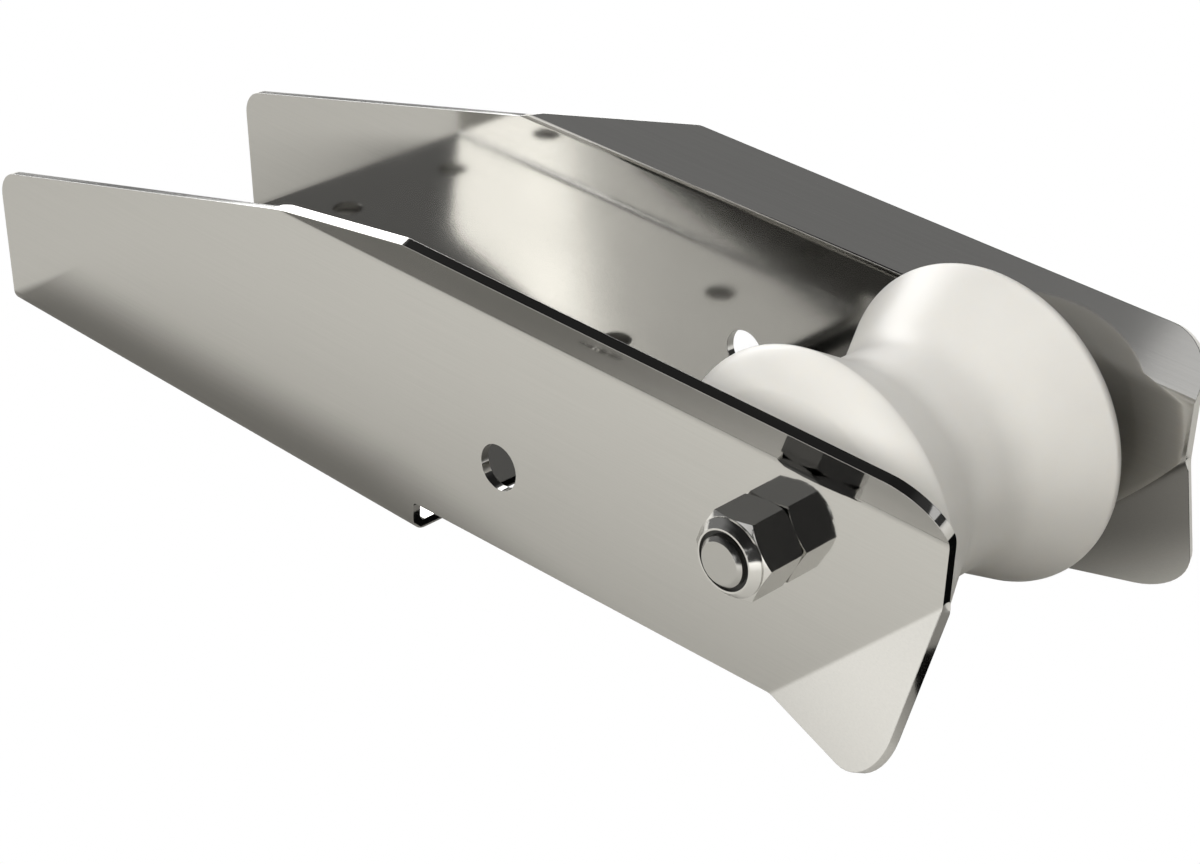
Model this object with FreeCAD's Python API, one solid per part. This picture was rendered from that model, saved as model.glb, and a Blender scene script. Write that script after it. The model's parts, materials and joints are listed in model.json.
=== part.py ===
import FreeCAD, Part
import math
import os

# A bow fairlead for an anchor chain: a folded stainless channel with a nylon roller on a bolt.
# Sizes are in millimetres and degrees. X runs forward to the roller, Y to the far side, Z up.
# Sizes along X are measured from the rear of the channel, and heights from under its floor.
# The finished pieces have their origin under the floor, in the middle of the four deck holes.

# Folded sheet
sheet = 2.5
channel_width = 91.0            # over both cheeks
channel_length = 335.5
bend_radius = 1.5               # inside the floor bends
floor_setback = 3.0             # floor's rear edge ahead of the cheeks' rear corners
floor_front = 172.6             # floor's front edge
rear_height = 39.6
rear_corner_radius = 8.0
rise_angle = 14.7               # of each cheek's sloping top edge
front_step = 8.7                # cheek's lower edge where the floor ends
front_rise_angle = 1.6          # of that lower edge, towards the front
step_corner_radius = 1.0

# Flared strip along the top of each cheek
crease_height = 70.5
strip_angle = 30.0
strip_bend_radius = 4.0
strip_length = 13.2             # flat part, beyond the bend

# Ear at each cheek's lower front corner, folded outward along a 45 degree line
ear_fold_height = 57.4          # where the fold leaves the front edge
ear_angle = 29.0
ear_bend_radius = 3.0
ear_drop = 2.2                  # ear's corner below the line of the lower edge, in the flat sheet
ear_corner_radius = 13.5

# Holes in the sheet
deck_hole_diameter = 9.0
deck_hole_rear = 22.5           # rear pair, from the rear of the channel
deck_hole_pitch = 115.0         # rear pair to front pair
deck_hole_spacing = 44.0        # across the floor
pin_hole_diameter = 12.0
pin_hole_x = 202.7
pin_hole_height = 32.1

# Roller
axle_setback = 48.5             # behind the cheeks' front edges
axle_height = 51.1
roller_diameter = 80.0
roller_width = 76.0
groove_width = 60.4             # at the rims
waist_width = 18.0              # between the groove's two flanks
waist_diameter = 56.8
dome_height = 8.6               # of each rim's domed outer side, along the radius
dome_bulge = 1.25
bore_clearance = 0.08           # all round the bolt, so that the roller runs
roller_side_gap = 0.3           # roller to each spacer

# Bolt and self-locking nut, M12
bolt_diameter = 12.0
hex_across_flats = 19.0
hex_chamfer_angle = 30.0
head_height = 7.5
washer_face_height = 0.6
bolt_end_proud = 1.5            # beyond the nut
bolt_end_chamfer = 0.9
bolt_hole_clearance = 0.25      # all round the bolt, in the cheeks
nut_clearance = 0.05            # all round the bolt
nut_height = 14.0
nut_hex_height = 11.6
nut_turn = 4.6                  # of a corner above the forward direction
collar_diameter = 18.8
collar_chamfer = 1.8
collar_lip = 1.1                # collar's mouth, all round the bolt
insert_depth = 0.9              # insert's face, inside the mouth
insert_wall = 1.6
insert_height = 2.4

# Spacers beside the roller
spacer_diameter = 22.0
spacer_clearance = 0.15         # all round the bolt

half_width = channel_width / 2
axle_x = channel_length - axle_setback
bend_outer_radius = bend_radius + sheet
rise = math.tan(math.radians(rise_angle))
crease_start = (crease_height - rear_height) / rise
deck_centre_x = deck_hole_rear + deck_hole_pitch / 2
nut_face_y = -half_width
axle = FreeCAD.Vector(axle_x, 0, axle_height)
across = FreeCAD.Vector(0, 1, 0)


def point(x, y, z):
    return FreeCAD.Vector(x, y, z)


# A closed outline from corners (a, b, radius). place turns (a, b) into a point in space.
def rounded_outline(corners, place):
    edges = []
    ends = []
    count = len(corners)
    for index, (a, b, radius) in enumerate(corners):
        here = FreeCAD.Vector(a, b, 0)
        before = FreeCAD.Vector(*corners[index - 1][:2], 0)
        after = FreeCAD.Vector(*corners[(index + 1) % count][:2], 0)
        if radius == 0:
            ends.append((here, here))
            continue
        back = (before - here).normalize()
        ahead = (after - here).normalize()
        half_turn = back.getAngle(ahead) / 2
        tangent = radius / math.tan(half_turn)
        middle = (back + ahead).normalize() * (radius / math.sin(half_turn) - radius)
        start, end = here + back * tangent, here + ahead * tangent
        ends.append((start, end))
        edges.append(Part.Arc(place(*start[:2]), place(*(here + middle)[:2]), place(*end[:2])).toShape())
    for index in range(count):
        leave = ends[index][1]
        arrive = ends[(index + 1) % count][0]
        if leave.distanceToPoint(arrive) > 1e-6:
            edges.append(Part.makeLine(place(*leave[:2]), place(*arrive[:2])))
    return Part.Wire(Part.__sortEdges__(edges))


# A fold turns the far cheek's edge outward about a line on its outer face.
class Fold:
    def __init__(self, start, along, away, angle, radius):
        self.start = start
        self.along = along
        self.away = away
        self.angle = math.radians(angle)
        self.radius = radius
        self.arc_length = self.angle * radius

    # u runs along the fold, s away from it over the outer face, depth into the sheet.
    def place(self, u, s, depth=0.0):
        turn = min(s / self.radius, self.angle)
        beyond = max(s - self.arc_length, 0.0)
        spoke = self.away * math.sin(turn) - across * math.cos(turn)
        ahead = self.away * math.cos(turn) + across * math.sin(turn)
        centre = self.start + self.along * u + across * self.radius
        return centre + spoke * (self.radius + depth) + ahead * beyond

    # The curved part, as a loft of sections across the sheet between the two ends u(s).
    def bend(self, low_end, high_end, sections=5):
        wires = []
        for step in range(sections):
            s = self.arc_length * step / (sections - 1)
            low, high = low_end(s), high_end(s)
            corners = [self.place(low, s), self.place(high, s),
                       self.place(high, s, sheet), self.place(low, s, sheet)]
            wires.append(Part.makePolygon(corners + corners[:1]))
        return Part.makeLoft(wires, True, False)

    # The flat part beyond the bend, from corners (u, s, radius).
    def plate(self, corners):
        face = Part.Face(rounded_outline(corners, self.place))
        s = self.arc_length + self.radius
        return face.extrude(self.place(0, s, sheet) - self.place(0, s))


# Height of the cheek's lower edge ahead of the floor
def lower_edge(x):
    return front_step + (x - floor_front) * math.tan(math.radians(front_rise_angle))


strip_fold = Fold(point(0, half_width, crease_height), point(1, 0, 0), point(0, 0, 1),
                  strip_angle, strip_bend_radius)
diagonal = math.sqrt(0.5)
ear_fold = Fold(point(channel_length, half_width, ear_fold_height), point(diagonal, 0, diagonal),
                point(diagonal, 0, -diagonal), ear_angle, ear_bend_radius)


# Where a line parallel to the ear's fold, at distance s from it, meets the lower edge
def ear_low_end(s):
    slope = math.tan(math.radians(front_rise_angle))
    height = lower_edge(channel_length + s * diagonal) - ear_fold_height + s * diagonal
    return height / (diagonal * (1 - slope))


def ear_high_end(s):
    return -s


def strip_low_end(s):
    return crease_start + s / rise


def strip_high_end(s):
    return channel_length


def far_cheek():
    ear_start = channel_length + ear_low_end(0) * diagonal
    corners = [(floor_setback, bend_outer_radius, 0),
               (0, rear_height, rear_corner_radius),
               (crease_start, crease_height, 0),
               (channel_length, crease_height, 0),
               (channel_length, ear_fold_height, 0),
               (ear_start, lower_edge(ear_start), 0),
               (floor_front, front_step, step_corner_radius),
               (floor_front, bend_outer_radius, 0)]
    wire = rounded_outline(corners, lambda x, z: point(x, half_width, z))
    return Part.Face(wire).extrude(across * -sheet)


def far_strip():
    top = strip_fold.arc_length + strip_length
    corners = [(strip_low_end(strip_fold.arc_length), strip_fold.arc_length, 0),
               (strip_low_end(top), top, strip_length / 2),
               (channel_length, top, strip_length - 0.01),
               (channel_length, strip_fold.arc_length, 0)]
    return strip_fold.bend(strip_low_end, strip_high_end).fuse(strip_fold.plate(corners))


def far_ear():
    start = ear_fold.arc_length
    tip = (ear_fold_height - lower_edge(channel_length) + ear_drop) * diagonal
    corners = [(ear_low_end(start), start, 0),
               (-tip, tip, ear_corner_radius),
               (ear_high_end(start), start, 0)]
    return ear_fold.bend(ear_low_end, ear_high_end).fuse(ear_fold.plate(corners))


def floor_bend():
    length = floor_front - floor_setback
    centre = point(floor_setback, half_width - bend_outer_radius, bend_outer_radius)
    outer = Part.makeCylinder(bend_outer_radius, length, centre, point(1, 0, 0))
    inner = Part.makeCylinder(bend_radius, length, centre, point(1, 0, 0))
    corner = Part.makeBox(length, bend_outer_radius, bend_outer_radius, centre - point(0, 0, bend_outer_radius))
    return outer.cut(inner).common(corner)


def deck_holes():
    holes = []
    for x in (deck_hole_rear, deck_hole_rear + deck_hole_pitch):
        for side in (-1, 1):
            below = point(x, side * deck_hole_spacing / 2, -sheet)
            holes.append(Part.makeCylinder(deck_hole_diameter / 2, 3 * sheet, below))
    return holes


# A hole along Y through both cheeks
def cross_hole(x, height, diameter):
    start = point(x, -channel_width, height)
    return Part.makeCylinder(diameter / 2, 2 * channel_width, start, across)


def channel():
    half = far_cheek().fuse([far_strip(), far_ear(), floor_bend()])
    floor_width = channel_width - 2 * bend_outer_radius
    floor = Part.makeBox(floor_front - floor_setback, floor_width, sheet,
                         point(floor_setback, -floor_width / 2, 0))
    whole = floor.fuse([half, half.mirror(point(0, 0, 0), across)]).removeSplitter()
    bolt_hole = bolt_diameter + 2 * bolt_hole_clearance
    return whole.cut(deck_holes() + [cross_hole(pin_hole_x, pin_hole_height, pin_hole_diameter),
                                     cross_hole(axle_x, axle_height, bolt_hole)])


# A solid turned about the axle from corners (y, radius, rounding)
def turned(corners):
    wire = rounded_outline(corners, lambda y, radius: axle + point(radius, y, 0))
    return Part.Face(wire).revolve(axle, across, 360)


# The rims are domed on their outer sides, from the flat ends up to the crests beside the groove.
def roller():
    half = roller_width / 2
    rim = roller_diameter / 2
    bore = bolt_diameter / 2 + bore_clearance
    edges = []
    for side in (-1, 1):
        end, shoulder, crest, foot = [axle + point(radius, side * y, 0) for y, radius in (
            (half, bore), (half, rim - dome_height), (groove_width / 2, rim), (waist_width / 2, waist_diameter / 2))]
        outward = (crest - shoulder).cross(point(0, 0, -side)).normalize()
        swell = (shoulder + crest) * 0.5 + outward * dome_bulge
        edges += [Part.makeLine(end, shoulder), Part.Arc(shoulder, swell, crest).toShape(),
                  Part.makeLine(crest, foot)]
    edges += [Part.makeLine(edges[2].valueAt(edges[2].LastParameter), edges[5].valueAt(edges[5].LastParameter)),
              Part.makeLine(edges[0].valueAt(edges[0].FirstParameter), edges[3].valueAt(edges[3].FirstParameter))]
    return Part.Face(Part.Wire(Part.__sortEdges__(edges))).revolve(axle, across, 360)


# A hexagon along the axle from y, chamfered at both ends unless plain_start is set
def hexagon(y, height, turn, plain_start=False):
    corner_radius = hex_across_flats / math.sqrt(3)
    corners = []
    for index in range(7):
        angle = math.radians(turn + 60 * index)
        corners.append(axle + point(corner_radius * math.cos(angle), y, corner_radius * math.sin(angle)))
    prism = Part.Face(Part.makePolygon(corners)).extrude(across * height)
    reach = corner_radius + 1.0
    drop = (reach - hex_across_flats / 2) * math.tan(math.radians(hex_chamfer_angle))
    start_radius = reach if plain_start else hex_across_flats / 2
    start_drop = 0.0 if plain_start else drop
    profile = [(y, 0, 0), (y, start_radius, 0)]
    if start_drop:
        profile.append((y + start_drop, reach, 0))
    profile += [(y + height - drop, reach, 0), (y + height, hex_across_flats / 2, 0), (y + height, 0, 0)]
    return prism.common(turned(profile))


def ring(y, length, inner_radius, outer_radius):
    return turned([(y, inner_radius, 0), (y, outer_radius, 0),
                   (y + length, outer_radius, 0), (y + length, inner_radius, 0)])


def axle_bolt():
    radius = bolt_diameter / 2
    end = nut_face_y - nut_height - bolt_end_proud
    shank = turned([(end, 0, 0), (end, radius - bolt_end_chamfer, 0), (end + bolt_end_chamfer, radius, 0),
                    (half_width, radius, 0), (half_width, hex_across_flats / 2 - 0.5, 0),
                    (half_width + washer_face_height, hex_across_flats / 2 - 0.5, 0),
                    (half_width + washer_face_height, 0, 0)])
    head = hexagon(half_width + washer_face_height, head_height - washer_face_height, nut_turn, True)
    return shank.fuse(head).removeSplitter()


def lock_nut():
    bore = bolt_diameter / 2 + nut_clearance
    seat = bore + insert_wall
    top = nut_face_y - nut_height
    shoulder = nut_face_y - nut_hex_height
    collar_radius = collar_diameter / 2
    body = hexagon(shoulder, nut_hex_height, nut_turn)
    collar = turned([(top, 0, 0), (top, collar_radius - collar_chamfer, 0),
                     (top + collar_chamfer, collar_radius, 0),
                     (shoulder + bolt_end_chamfer, collar_radius, 0), (shoulder + bolt_end_chamfer, 0, 0)])
    insert_top = top + insert_depth
    insert_base = insert_top + insert_height
    hollow = turned([(top, 0, 0), (top, bore + collar_lip, 0), (insert_top, bore + collar_lip, 0),
                     (insert_top, seat, 0), (insert_base, seat, 0), (insert_base, bore, 0),
                     (nut_face_y, bore, 0), (nut_face_y, 0, 0)])
    return body.fuse(collar).cut(hollow).removeSplitter()


def nut_insert():
    bore = bolt_diameter / 2 + nut_clearance
    insert_top = nut_face_y - nut_height + insert_depth
    return ring(insert_top, insert_height, bore, bore + insert_wall)


# A plain bush between the roller and the cheek on one side
def spacer(side):
    inside = half_width - sheet
    length = inside - roller_width / 2 - roller_side_gap
    start = inside - length if side > 0 else -inside
    return ring(start, length, bolt_diameter / 2 + spacer_clearance, spacer_diameter / 2)


pieces = {
    "channel": channel(),
    "roller": roller(),
    "axle_bolt": axle_bolt(),
    "lock_nut": lock_nut(),
    "nut_insert": nut_insert(),
    "spacer_near": spacer(-1),
    "spacer_far": spacer(1),
}

os.makedirs("parts", exist_ok=True)
for name, shape in pieces.items():
    moved = shape.translated(FreeCAD.Vector(-deck_centre_x, 0, 0))
    moved.exportStep("parts/" + name + ".step")
    print(name, "valid", moved.isValid(), "solids", len(moved.Solids), "volume", round(moved.Volume, 1))
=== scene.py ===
import json
import math

import bpy
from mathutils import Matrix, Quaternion, Vector


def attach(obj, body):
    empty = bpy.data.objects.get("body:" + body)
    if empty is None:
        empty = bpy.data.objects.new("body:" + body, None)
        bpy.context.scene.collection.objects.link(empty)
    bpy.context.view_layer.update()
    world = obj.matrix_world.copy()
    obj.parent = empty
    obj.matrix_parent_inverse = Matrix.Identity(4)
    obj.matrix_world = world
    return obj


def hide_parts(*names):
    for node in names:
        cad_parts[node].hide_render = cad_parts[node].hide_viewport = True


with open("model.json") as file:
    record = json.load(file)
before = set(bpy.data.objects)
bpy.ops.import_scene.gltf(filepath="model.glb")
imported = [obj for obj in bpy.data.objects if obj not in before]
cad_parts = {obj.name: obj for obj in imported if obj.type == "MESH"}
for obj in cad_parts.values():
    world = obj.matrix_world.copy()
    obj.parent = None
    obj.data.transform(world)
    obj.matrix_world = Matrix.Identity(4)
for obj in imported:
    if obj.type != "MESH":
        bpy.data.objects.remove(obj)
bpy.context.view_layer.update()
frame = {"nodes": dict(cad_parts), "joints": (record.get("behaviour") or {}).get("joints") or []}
mm = 0.001


# Camera, at the photograph's viewing angle. Angles in degrees, the rest in millimetres.
viewOf = {
    "azimuth": 43.27,
    "elevation": 29.63,
    "roll": 2.42,
    "distance": 718.26,
    "lookAt": (115.55, -3.71, 23.99),
    "focalPixels": 2848.24,
    "imageWidth": 1200,
    "sensorWidth": 36,
    "centreOffset": (2.34, -3.6),  # pixels from the picture's middle to the lens axis, left and down
}


def makeCamera():
    azimuth, elevation = math.radians(viewOf["azimuth"]), math.radians(viewOf["elevation"])
    back = Vector((math.sin(azimuth) * math.cos(elevation),
                   -math.cos(azimuth) * math.cos(elevation),
                   math.sin(elevation)))
    bpy.ops.object.camera_add()
    camera = bpy.context.object
    camera.name = "view_camera"
    camera.location = (Vector(viewOf["lookAt"]) + back * viewOf["distance"]) * mm
    camera.rotation_mode = "QUATERNION"
    roll = Quaternion((0, 0, 1), math.radians(viewOf["roll"]))
    camera.rotation_quaternion = (-back).to_track_quat("-Z", "Y") @ roll
    camera.data.sensor_width = viewOf["sensorWidth"]
    camera.data.lens = viewOf["sensorWidth"] * viewOf["focalPixels"] / viewOf["imageWidth"]
    camera.data.shift_x = viewOf["centreOffset"][0] / viewOf["imageWidth"]
    camera.data.shift_y = viewOf["centreOffset"][1] / viewOf["imageWidth"]
    camera.data.dof.use_dof = False
    camera.data.clip_start = 0.01
    bpy.context.scene.camera = camera
    print("camera set")


# Materials
def linear(hexColour):
    channels = [int(hexColour[i:i + 2], 16) / 255 for i in (1, 3, 5)]
    return tuple(c / 12.92 if c <= 0.04045 else ((c + 0.055) / 1.055) ** 2.4 for c in channels) + (1.0,)


# Adds a node. Settings name its properties or its inputs, and a link names another node's output.
# An input goes by its number where two have one name.
def addNode(tree, kind, settings=None, links=None):
    node = tree.nodes.new(kind)
    for name, value in (settings or {}).items():
        if name in node.inputs:
            node.inputs[name].default_value = value
        else:
            setattr(node, name, value)
    for socket, (source, output) in (links or {}).items():
        tree.links.new(source.outputs[output], node.inputs[socket])
    return node


def newMaterial(name):
    material = bpy.data.materials.new(name)
    material.use_nodes = True
    material.node_tree.nodes.clear()
    return material, material.node_tree


def endMaterial(tree, shader, output="BSDF"):
    addNode(tree, "ShaderNodeOutputMaterial", links={"Surface": (shader, output)})


reliefDepth = 0.05 * mm    # of every finish, times its own bump

# Polished stainless sheet: a mirror with the fine straight lines of the polishing belt
sheetFinish = {
    "colour": "#c9c8c5",
    "darkColour": "#bebdba",
    "roughness": (0.05, 0.1),
    "lineSpacing": 0.35,      # millimetres between belt lines, coarser than real so that they show
    "lineLength": 40.0,
    "patchSize": 60.0,
    "bump": 0.02,
}


def polishedSheet():
    material, tree = newMaterial("polished_stainless_sheet")
    place = addNode(tree, "ShaderNodeTexCoord")
    stretched = addNode(tree, "ShaderNodeMapping",
                        {"Scale": (1 / (sheetFinish["lineLength"] * mm),
                                   1 / (sheetFinish["lineSpacing"] * mm),
                                   1 / (sheetFinish["lineSpacing"] * mm))},
                        {"Vector": (place, "Object")})
    lines = addNode(tree, "ShaderNodeTexNoise", {"Scale": 1.0, "Detail": 3.0, "Roughness": 0.6},
                    {"Vector": (stretched, "Vector")})
    patches = addNode(tree, "ShaderNodeTexNoise",
                      {"Scale": 1 / (sheetFinish["patchSize"] * mm), "Detail": 2.0},
                      {"Vector": (place, "Object")})
    roughness = addNode(tree, "ShaderNodeMapRange",
                        {"From Min": 0.3, "From Max": 0.7,
                         "To Min": sheetFinish["roughness"][0], "To Max": sheetFinish["roughness"][1]},
                        {"Value": (patches, "Fac")})
    colour = addNode(tree, "ShaderNodeValToRGB", links={"Fac": (lines, "Fac")})
    colour.color_ramp.elements[0].color = linear(sheetFinish["darkColour"])
    colour.color_ramp.elements[1].color = linear(sheetFinish["colour"])
    relief = addNode(tree, "ShaderNodeBump", {"Strength": sheetFinish["bump"], "Distance": reliefDepth},
                     {"Height": (lines, "Fac")})
    shader = addNode(tree, "ShaderNodeBsdfPrincipled", {"Metallic": 1.0},
                     {"Base Color": (colour, "Color"), "Roughness": (roughness, "Result"),
                      "Normal": (relief, "Normal")})
    endMaterial(tree, shader)
    return material


# Stainless fasteners: the nut is tumbled bright, and the bolt's turned end is duller
fastenerMarks = 1.5    # millimetres between the marks on both
nutFinish = {"name": "bright_stainless_nut", "colour": "#d0cfcc", "roughness": (0.06, 0.16), "bump": 0.05}
boltFinish = {"name": "turned_stainless_bolt", "colour": "#b2b1ae", "roughness": (0.14, 0.28), "bump": 0.12}


def stainlessFastener(finish):
    material, tree = newMaterial(finish["name"])
    place = addNode(tree, "ShaderNodeTexCoord")
    marks = addNode(tree, "ShaderNodeTexNoise", {"Scale": 1 / (fastenerMarks * mm), "Detail": 4.0},
                    {"Vector": (place, "Object")})
    roughness = addNode(tree, "ShaderNodeMapRange",
                        {"To Min": finish["roughness"][0], "To Max": finish["roughness"][1]},
                        {"Value": (marks, "Fac")})
    relief = addNode(tree, "ShaderNodeBump", {"Strength": finish["bump"], "Distance": reliefDepth},
                     {"Height": (marks, "Fac")})
    shader = addNode(tree, "ShaderNodeBsdfPrincipled",
                     {"Metallic": 1.0, "Base Color": linear(finish["colour"])},
                     {"Roughness": (roughness, "Result"), "Normal": (relief, "Normal")})
    endMaterial(tree, shader)
    return material


# Moulded white nylon: slightly translucent and satin, and a little cloudy
nylonFinish = {
    "colour": "#d6d4ce",
    "darkColour": "#cecbc5",
    "roughness": (0.34, 0.44),
    "cloudSize": 18,    # millimetres, as the next line
    "grainSize": 0.8,
    "bump": 0.06,
    "translucency": 0.35,
    "lightReach": 4,    # millimetres into the nylon, times a share for red, green and blue
    "reachShares": (1.0, 0.9, 0.75),
    "ior": 1.53,
}


def mouldedNylon():
    material, tree = newMaterial("moulded_white_nylon")
    place = addNode(tree, "ShaderNodeTexCoord")
    cloud = addNode(tree, "ShaderNodeTexNoise",
                    {"Scale": 1 / (nylonFinish["cloudSize"] * mm), "Detail": 3.0},
                    {"Vector": (place, "Object")})
    grain = addNode(tree, "ShaderNodeTexNoise",
                    {"Scale": 1 / (nylonFinish["grainSize"] * mm), "Detail": 2.0},
                    {"Vector": (place, "Object")})
    colour = addNode(tree, "ShaderNodeValToRGB", links={"Fac": (cloud, "Fac")})
    colour.color_ramp.elements[0].color = linear(nylonFinish["darkColour"])
    colour.color_ramp.elements[1].color = linear(nylonFinish["colour"])
    roughness = addNode(tree, "ShaderNodeMapRange",
                        {"To Min": nylonFinish["roughness"][0], "To Max": nylonFinish["roughness"][1]},
                        {"Value": (cloud, "Fac")})
    relief = addNode(tree, "ShaderNodeBump", {"Strength": nylonFinish["bump"], "Distance": reliefDepth},
                     {"Height": (grain, "Fac")})
    shader = addNode(tree, "ShaderNodeBsdfPrincipled",
                     {"Subsurface Weight": nylonFinish["translucency"],
                      "Subsurface Radius": nylonFinish["reachShares"],
                      "Subsurface Scale": nylonFinish["lightReach"] * mm,
                      "IOR": nylonFinish["ior"]},
                     {"Base Color": (colour, "Color"), "Roughness": (roughness, "Result"),
                      "Normal": (relief, "Normal")})
    endMaterial(tree, shader)
    return material


# The nut's nylon locking ring, coloured near black: dull, with a fine grain
insertFinish = {"colour": "#161614", "roughness": (0.4, 0.6), "grainSize": 0.6, "ior": 1.53}


def insertNylon():
    material, tree = newMaterial("dark_nylon_insert")
    place = addNode(tree, "ShaderNodeTexCoord")
    grain = addNode(tree, "ShaderNodeTexNoise",
                    {"Scale": 1 / (insertFinish["grainSize"] * mm), "Detail": 2.0},
                    {"Vector": (place, "Object")})
    roughness = addNode(tree, "ShaderNodeMapRange",
                        {"To Min": insertFinish["roughness"][0], "To Max": insertFinish["roughness"][1]},
                        {"Value": (grain, "Fac")})
    shader = addNode(tree, "ShaderNodeBsdfPrincipled",
                     {"Base Color": linear(insertFinish["colour"]), "IOR": insertFinish["ior"]},
                     {"Roughness": (roughness, "Result")})
    endMaterial(tree, shader)
    return material


# Every piece, in millimetres and degrees
meshFinish = {
    "mergeWithin": 0.002,
    "flatWithin": 0.3,
    "smoothUnder": 35,
}


# The moulded roller, turned from its outline, with the soft crests and blended waist of a moulding.
# Lengths in millimetres, and the outline's points are (along the axle, radius).
rollerForm = {
    "bore": 6.08,
    "halfWidth": 38.0,
    "shoulder": 31.4,    # radius where the flat end stops and the dome starts
    "domeBulge": 1.25,
    "domeSteps": 12,
    "crest": (30.2, 40.0),
    "crestReach": 1.2,    # how far the rounding goes down the groove's flank
    "crestSteps": 8,
    "foot": (9.0, 28.4),    # where the flank meets the waist
    "waistReach": 5.0,    # how far the blend goes each way from there
    "waistSteps": 10,
    "turnSteps": 160,
}


# Points on a soft curve from start to end, which leaves the start towards the corner and reaches the end
# from it
def softCurve(start, corner, end, steps):
    points = []
    for step in range(steps + 1):
        t = step / steps
        points.append(start * (1 - t) ** 2 + corner * 2 * t * (1 - t) + end * t ** 2)
    return points


def rollerOutline():
    shoulder = Vector((rollerForm["halfWidth"], rollerForm["shoulder"]))
    crest, foot = Vector(rollerForm["crest"]), Vector(rollerForm["foot"])
    slope = (crest - shoulder).normalized()
    swell = (shoulder + crest) / 2 + Vector((slope.y, -slope.x)) * 2 * rollerForm["domeBulge"]
    # The dome stops two points before the crest, where the crest's rounding takes over
    dome = softCurve(shoulder, swell, crest, rollerForm["domeSteps"])[:-2]
    flank = (foot - crest).normalized()
    half = [Vector((rollerForm["halfWidth"], rollerForm["bore"]))] + dome
    crestEnd = crest + flank * rollerForm["crestReach"]
    half += softCurve(dome[-1], crest, crestEnd, rollerForm["crestSteps"])[1:]
    waistStart = foot - flank * rollerForm["waistReach"]
    waistEnd = foot - Vector((rollerForm["waistReach"], 0))
    half += softCurve(waistStart, foot, waistEnd, rollerForm["waistSteps"])
    return half + [Vector((-point.x, point.y)) for point in reversed(half)]


# The axle is the roller's own joint
def turnedRoller(pieceName, material):
    outline = rollerOutline()
    axle = Vector(frame["joints"][0]["pos_m"])
    bpy.ops.object.select_all(action="DESELECT")
    bpy.ops.mesh.primitive_circle_add(vertices=len(outline), radius=1.0, location=(0, 0, 0))
    piece = bpy.context.object
    piece.name = pieceName
    for vertex, point in zip(piece.data.vertices, outline):
        vertex.co = axle + Vector((point.y, point.x, 0)) * mm
    bpy.ops.object.mode_set(mode="EDIT")
    bpy.ops.mesh.select_all(action="SELECT")
    bpy.ops.mesh.spin(steps=rollerForm["turnSteps"], angle=math.radians(360), center=axle, axis=(0, 1, 0))
    bpy.ops.mesh.select_all(action="SELECT")
    bpy.ops.mesh.remove_doubles(threshold=meshFinish["mergeWithin"] * mm)
    bpy.ops.mesh.normals_make_consistent(inside=False)
    bpy.ops.object.mode_set(mode="OBJECT")
    bpy.ops.object.shade_smooth_by_angle(angle=math.radians(meshFinish["smoothUnder"]))
    piece.data.materials.append(material)
    return piece


# A piece made from a node's own shape: merged, its edges rounded, and smooth on its curves
def dressedPiece(nodeName, pieceName, material, roundings):
    bpy.ops.object.select_all(action="DESELECT")
    piece = bpy.data.objects.new(pieceName, frame["nodes"][nodeName].data.copy())
    bpy.context.scene.collection.objects.link(piece)
    piece.select_set(True)
    bpy.context.view_layer.objects.active = piece
    piece.data.materials.clear()
    piece.data.materials.append(material)
    bpy.ops.object.mode_set(mode="EDIT")
    bpy.ops.mesh.select_all(action="SELECT")
    bpy.ops.mesh.remove_doubles(threshold=meshFinish["mergeWithin"] * mm)
    bpy.ops.mesh.dissolve_limited(angle_limit=math.radians(meshFinish["flatWithin"]))
    bpy.ops.object.mode_set(mode="OBJECT")
    bpy.ops.mesh.customdata_custom_splitnormals_clear()
    for sharpAngle, edgeRadius, segments in roundings:
        rounded = piece.modifiers.new("rounded_edges", "BEVEL")
        rounded.width = edgeRadius * mm
        rounded.segments = segments
        rounded.limit_method = "ANGLE"
        rounded.angle_limit = math.radians(sharpAngle)
        rounded.use_clamp_overlap = True
        rounded.harden_normals = False
        bpy.ops.object.modifier_apply(modifier=rounded.name)
    bpy.ops.object.shade_smooth_by_angle(angle=math.radians(meshFinish["smoothUnder"]))
    weighted = piece.modifiers.new("flat_faces_stay_flat", "WEIGHTED_NORMAL")
    weighted.keep_sharp = True
    weighted.weight = 100
    bpy.ops.object.modifier_apply(modifier=weighted.name)
    return piece


# Floor, cards, room and soft boxes. The camera sees a plain white ground and room.
def showWhiteToCamera(tree, shader, output, whiteKind):
    ray = addNode(tree, "ShaderNodeLightPath")
    white = addNode(tree, whiteKind, {"Color": (1, 1, 1, 1), "Strength": 1.0})
    return addNode(tree, "ShaderNodeMixShader",
                   links={"Fac": (ray, "Is Camera Ray"), 1: (shader, output), 2: (white, 0)})


# The floor as the metal mirrors it, with painted shade: darker close to the channel's sides, where the
# channel's shadow falls. Its painted sheen, an emission, makes it paler where it is seen at a low angle.
# Lengths in metres.
floorFinish = {
    "size": 8.0,
    "height": -0.0004,
    "colour": "#e8e6e0",
    # colour of the painted shadow beside the channel
    "paintedShadowColour": "#9c9a95",
    "beside": 0.052,    # from the channel's middle line, where the dark band starts to fade
    "clear": 0.076,    # where it has faded
    "narrowing": 0.018,    # of the dark band, towards the front
    "narrowFrom": 0.06,
    "narrowTo": 0.18,
    "rearClear": -0.085,
    "rearBeside": -0.079,
    "sheen": 0.4,
    "sheenAngles": (0.6, 0.85),    # 0 from straight above, 1 along the floor
}


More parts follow.
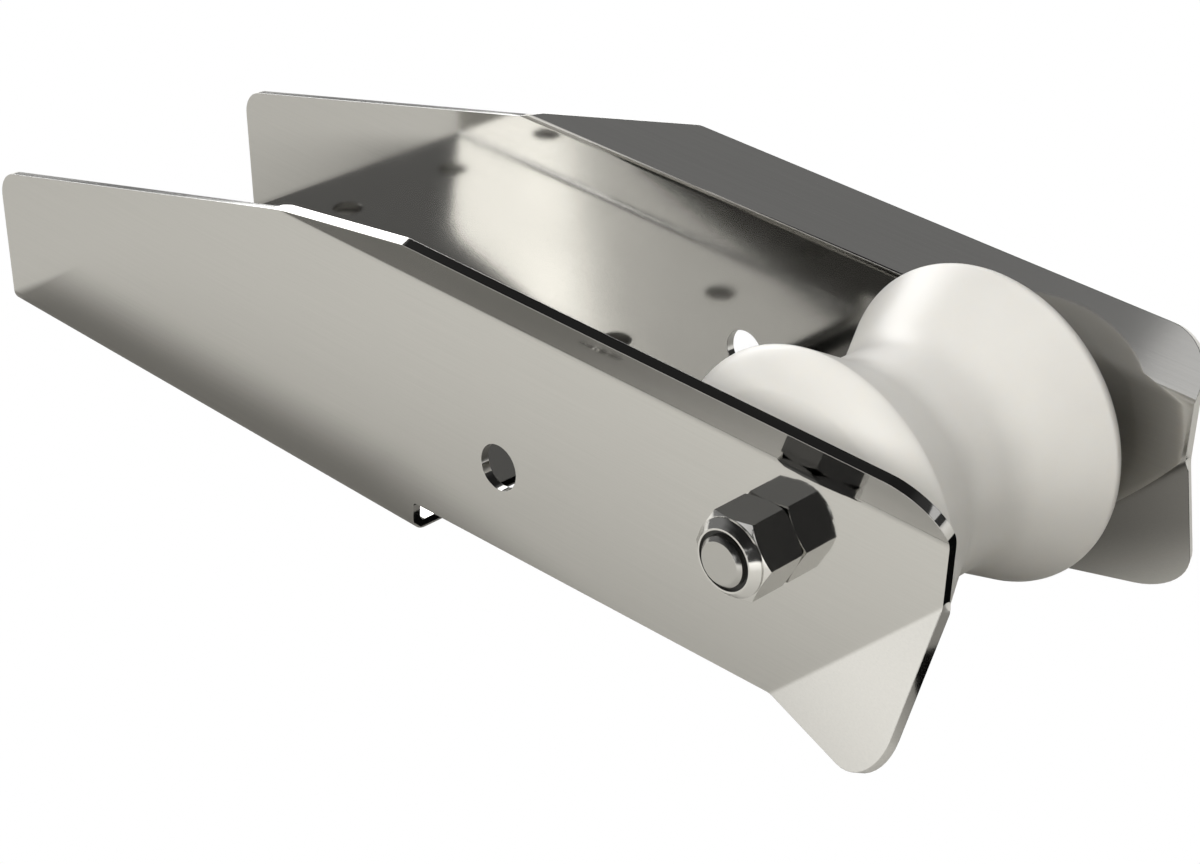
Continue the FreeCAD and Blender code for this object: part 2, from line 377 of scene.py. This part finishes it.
def makeFloor():
    bpy.ops.mesh.primitive_plane_add(size=floorFinish["size"], location=(0, 0, floorFinish["height"]))
    floor = bpy.context.object
    floor.name = "studio_floor"
    material, tree = newMaterial("white_studio_floor")
    place = addNode(tree, "ShaderNodeSeparateXYZ",
                    links={"Vector": (addNode(tree, "ShaderNodeTexCoord"), "Object")})
    outward = addNode(tree, "ShaderNodeMath", {"operation": "ABSOLUTE"}, {0: (place, "Y")})
    narrowing = addNode(tree, "ShaderNodeMapRange",
                        {"From Min": floorFinish["narrowFrom"], "From Max": floorFinish["narrowTo"],
                         "To Min": 0.0, "To Max": floorFinish["narrowing"]},
                        {"Value": (place, "X")})
    aside = addNode(tree, "ShaderNodeMath", {"operation": "ADD"},
                    {0: (outward, "Value"), 1: (narrowing, "Result")})
    # Mask of the painted shadow: dark near the channel's sides, narrower towards the front, clear behind it
    clearBeside = addNode(tree, "ShaderNodeMapRange",
                          {"interpolation_type": "SMOOTHSTEP", "From Min": floorFinish["beside"],
                           "From Max": floorFinish["clear"]},
                          {"Value": (aside, "Value")})
    clearBehind = addNode(tree, "ShaderNodeMapRange",
                          {"interpolation_type": "SMOOTHSTEP", "From Min": floorFinish["rearBeside"],
                           "From Max": floorFinish["rearClear"]},
                          {"Value": (place, "X")})
    clearer = addNode(tree, "ShaderNodeMath", {"operation": "MAXIMUM"},
                      {0: (clearBeside, "Result"), 1: (clearBehind, "Result")})
    paintedShade = addNode(tree, "ShaderNodeValToRGB", links={"Fac": (clearer, "Value")})
    paintedShade.color_ramp.elements[0].color = linear(floorFinish["paintedShadowColour"])
    paintedShade.color_ramp.elements[1].color = linear(floorFinish["colour"])
    matte = addNode(tree, "ShaderNodeBsdfDiffuse", links={"Color": (paintedShade, "Color")})
    # Painted sheen: an emission that makes the floor paler where it is seen at a low angle
    lowAngle = addNode(tree, "ShaderNodeLayerWeight", {"Blend": 0.5})
    paintedSheenGlow = addNode(tree, "ShaderNodeMapRange",
                    {"From Min": floorFinish["sheenAngles"][0], "From Max": floorFinish["sheenAngles"][1],
                     "To Min": 0.0, "To Max": floorFinish["sheen"]},
                    {"Value": (lowAngle, "Facing")})
    sheen = addNode(tree, "ShaderNodeEmission", links={"Strength": (paintedSheenGlow, "Result")})
    both = addNode(tree, "ShaderNodeAddShader", links={0: (matte, "BSDF"), 1: (sheen, "Emission")})
    shown = showWhiteToCamera(tree, both, "Shader", "ShaderNodeEmission")
    side = addNode(tree, "ShaderNodeNewGeometry")
    below = addNode(tree, "ShaderNodeBsdfTransparent")
    clearFromBelow = addNode(tree, "ShaderNodeMixShader",
                             links={"Fac": (side, "Backfacing"), 1: (shown, "Shader"), 2: (below, "BSDF")})
    endMaterial(tree, clearFromBelow, "Shader")
    floor.data.materials.append(material)


# Black cards just above the floor, ahead of the channel's floor and ahead of the roller, in metres: painted
# shade that stands in for the channel's shadow on the floor there. Only mirrors show them.
paintedShadeCards = [
    {"name": "painted_shade_by_floor", "rear": 0.0935, "front": 0.1, "near": -0.042, "far": 0.046},
    {"name": "painted_shade_ahead", "rear": 0.265, "front": 0.345, "near": -0.036, "far": 0.135},
]
cardHeight = -0.0002
# colour of the painted shade cards
cardShade = (0.004, 0.004, 0.004, 1)


def makeCard(card):
    middle = ((card["rear"] + card["front"]) / 2, (card["near"] + card["far"]) / 2, cardHeight)
    bpy.ops.mesh.primitive_plane_add(size=1.0, location=middle)
    plane = bpy.context.object
    plane.name = card["name"]
    plane.scale = (card["front"] - card["rear"], card["far"] - card["near"], 1)
    material, tree = newMaterial(card["name"])
    endMaterial(tree, addNode(tree, "ShaderNodeBsdfDiffuse", {"Color": cardShade}))
    plane.data.materials.append(material)
    plane.visible_camera = False
    plane.visible_diffuse = False
    plane.visible_shadow = False


# The room as the metal mirrors it: grey behind the channel, near black above it and beside the roller,
# and grey again straight ahead. Soft surfaces get an even grey light from it.
room = {
    "grey": 0.24,
    "black": 0.02,
    "ahead": 0.05,
    "overhead": 0.1,    # share of the light that is left straight up
    "ambient": 0.09,
    "darkening": (-0.45, 0.1),    # along X, from the grey behind to the black
    "dimming": (0.5, 0.75),    # along Z, upwards
    "lightening": (0.35, 0.65),    # along X, to the grey ahead
}


def makeRoom():
    world = bpy.data.worlds.new("studio")
    bpy.context.scene.world = world
    world.use_nodes = True
    tree = world.node_tree
    tree.nodes.clear()
    direction = addNode(tree, "ShaderNodeSeparateXYZ",
                        links={"Vector": (addNode(tree, "ShaderNodeTexCoord"), "Generated")})
    fore = addNode(tree, "ShaderNodeMapRange",
                   {"From Min": room["darkening"][0], "From Max": room["darkening"][1],
                    "To Min": room["grey"], "To Max": room["black"]},
                   {"Value": (direction, "X")})
    above = addNode(tree, "ShaderNodeMapRange",
                    {"From Min": room["dimming"][0], "From Max": room["dimming"][1],
                     "To Min": 1.0, "To Max": room["overhead"]},
                    {"Value": (direction, "Z")})
    dimmed = addNode(tree, "ShaderNodeMath", {"operation": "MULTIPLY"},
                     {0: (fore, "Result"), 1: (above, "Result")})
    ahead = addNode(tree, "ShaderNodeMapRange",
                    {"From Min": room["lightening"][0], "From Max": room["lightening"][1],
                     "To Min": room["black"], "To Max": room["ahead"]},
                    {"Value": (direction, "X")})
    lighter = addNode(tree, "ShaderNodeMath", {"operation": "MAXIMUM"},
                      {0: (dimmed, "Value"), 1: (ahead, "Result")})
    mirroredRoom = addNode(tree, "ShaderNodeBackground", links={"Color": (lighter, "Value")})
    softRoom = addNode(tree, "ShaderNodeBackground", {"Color": (1, 1, 1, 1), "Strength": room["ambient"]})
    ray = addNode(tree, "ShaderNodeLightPath")
    unseen = addNode(tree, "ShaderNodeMixShader",
                     links={"Fac": (ray, "Is Glossy Ray"), 1: (softRoom, 0), 2: (mirroredRoom, 0)})
    shown = showWhiteToCamera(tree, unseen, "Shader", "ShaderNodeBackground")
    addNode(tree, "ShaderNodeOutputWorld", links={"Surface": (shown, "Shader")})


# Soft boxes: aim is the azimuth from forward and the elevation, in degrees, distance and size are in metres,
# and glow is how bright each looks. Metal mirrors the boxes, and the fills light the soft surfaces and the
# floor.
studioMiddle = Vector((0.09, 0, 0.03))
studioLamps = [
    {"name": "key_box", "aim": (157.5, 20), "distance": 1.8, "size": (1.18, 1.1), "glow": 4.6},
    {"name": "key_edge", "aim": (126, 20), "distance": 1.8, "size": (0.76, 1.1), "glow": 1.6},
    {"name": "near_box", "aim": (257, 20), "distance": 2.0, "size": (0.9, 0.8), "glow": 0.6},
    {"name": "fore_box", "aim": (22, 27), "distance": 1.8, "size": (0.9, 0.9), "glow": 0.7},
    {"name": "far_box", "aim": (85, 22), "distance": 1.8, "size": (1.1, 0.9), "glow": 0.8},
    {"name": "near_fore_box", "aim": (292, 12), "distance": 1.8, "size": (0.9, 0.7), "glow": 0.8},
    {"name": "top_fill", "aim": (110, 62), "distance": 2.0, "size": (2.4, 2.4), "glow": 1.2, "fill": True},
    {"name": "near_fill", "aim": (288, 36), "distance": 1.2, "size": (0.9, 0.9), "glow": 6.6, "fill": True},
    {"name": "fore_fill", "aim": (30, 45), "distance": 2.0, "size": (1.4, 1.4), "glow": 0.35, "fill": True},
]


def makeSoftBox(lamp):
    azimuth, elevation = (math.radians(angle) for angle in lamp["aim"])
    away = Vector((math.cos(azimuth) * math.cos(elevation), math.sin(azimuth) * math.cos(elevation),
                   math.sin(elevation)))
    bpy.ops.object.light_add(type="AREA", location=studioMiddle + away * lamp["distance"])
    box = bpy.context.object
    box.name = lamp["name"]
    box.rotation_mode = "QUATERNION"
    box.rotation_quaternion = away.to_track_quat("Z", "Y")
    box.data.shape = "RECTANGLE"
    box.data.size, box.data.size_y = lamp["size"]
    box.data.energy = lamp["glow"] * math.pi * lamp["size"][0] * lamp["size"][1]
    box.visible_camera = False
    isFill = lamp.get("fill", False)
    box.visible_glossy = not isFill
    box.visible_diffuse = isFill


def makeStudio():
    makeFloor()
    for card in paintedShadeCards:
        makeCard(card)
    makeRoom()
    for lamp in studioLamps:
        makeSoftBox(lamp)
    print("studio set")


scene = bpy.context.scene
scene.view_settings.view_transform = "Standard"
makeCamera()

sheetMetal = polishedSheet()
nutMetal = stainlessFastener(nutFinish)
boltMetal = stainlessFastener(boltFinish)
nylon = mouldedNylon()
darkNylon = insertNylon()

# Each rounding: edges sharper than this angle, how wide in millimetres, and in how many steps.
# The roller has none, as it is turned anew.
madeOf = [
    ("channel", "folded_channel", sheetMetal, [(28, 0.35, 3)], "stainless_sheet", "frame"),
    ("roller", "anchor_roller", nylon, None, "nylon", "roller"),
    ("axle_bolt", "axle_bolt_body", boltMetal, [(28, 0.2, 2)], "stainless_fastener", "frame"),
    ("lock_nut", "lock_nut_body", nutMetal, [(28, 0.4, 3)], "stainless_fastener", "frame"),
    ("nut_insert", "nut_insert_ring", darkNylon, [(28, 0.1, 2)], "insert_nylon", "frame"),
    ("spacer_near", "spacer_near_bush", nylon, [(28, 0.3, 2)], "nylon", "frame"),
    ("spacer_far", "spacer_far_bush", nylon, [(28, 0.3, 2)], "nylon", "frame"),
]
for nodeName, pieceName, material, roundings, slotName, body in madeOf:
    if roundings:
        piece = dressedPiece(nodeName, pieceName, material, roundings)
    else:
        piece = turnedRoller(pieceName, material)
    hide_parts(nodeName)
    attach(piece, body)
    print(pieceName, len(piece.data.polygons), "faces")

makeStudio()
